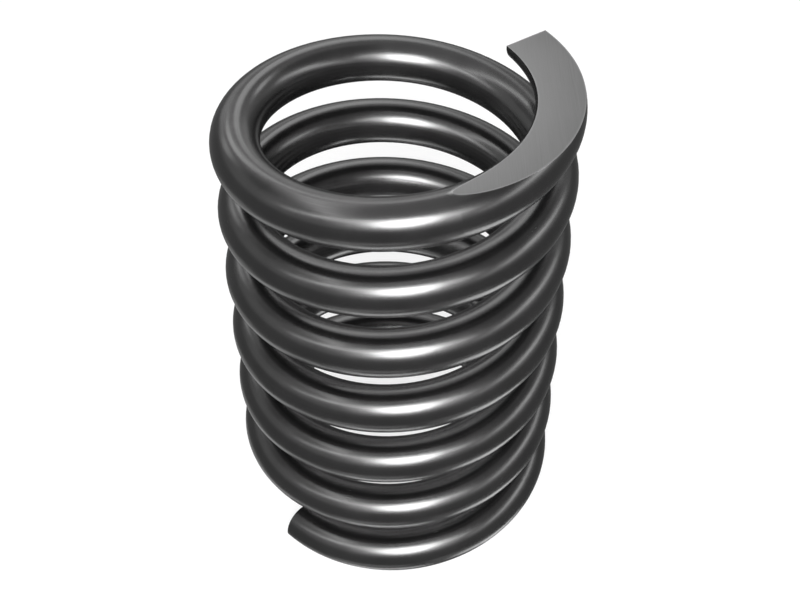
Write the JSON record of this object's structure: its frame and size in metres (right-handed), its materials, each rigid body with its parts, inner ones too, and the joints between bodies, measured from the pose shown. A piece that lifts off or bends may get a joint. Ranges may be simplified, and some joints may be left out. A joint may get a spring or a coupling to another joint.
{
  "type": "compression spring",
  "caption": "Compression spring of round steel wire, wound right-handed at an even pitch, with open ends ground flat to seat square and push back when squeezed.",
  "frame": {"origin": "on the coil's axis, in the plane of the lower ground face", "axes": "+Z along the coil's axis, from the lower ground face to the upper one; the wire's lower end lies 134.9 degrees clockwise of +X, seen from above"},
  "size_m": [0.037, 0.037, 0.055],
  "materials": {
    "spring_steel": "dark, smooth drawn wire with a soft gloss; the ground end faces are bare, matt and mid grey"
  },
  "bodies": {
    "root": {"spring_coil": "spring_steel"}
  },
  "joints": []
}
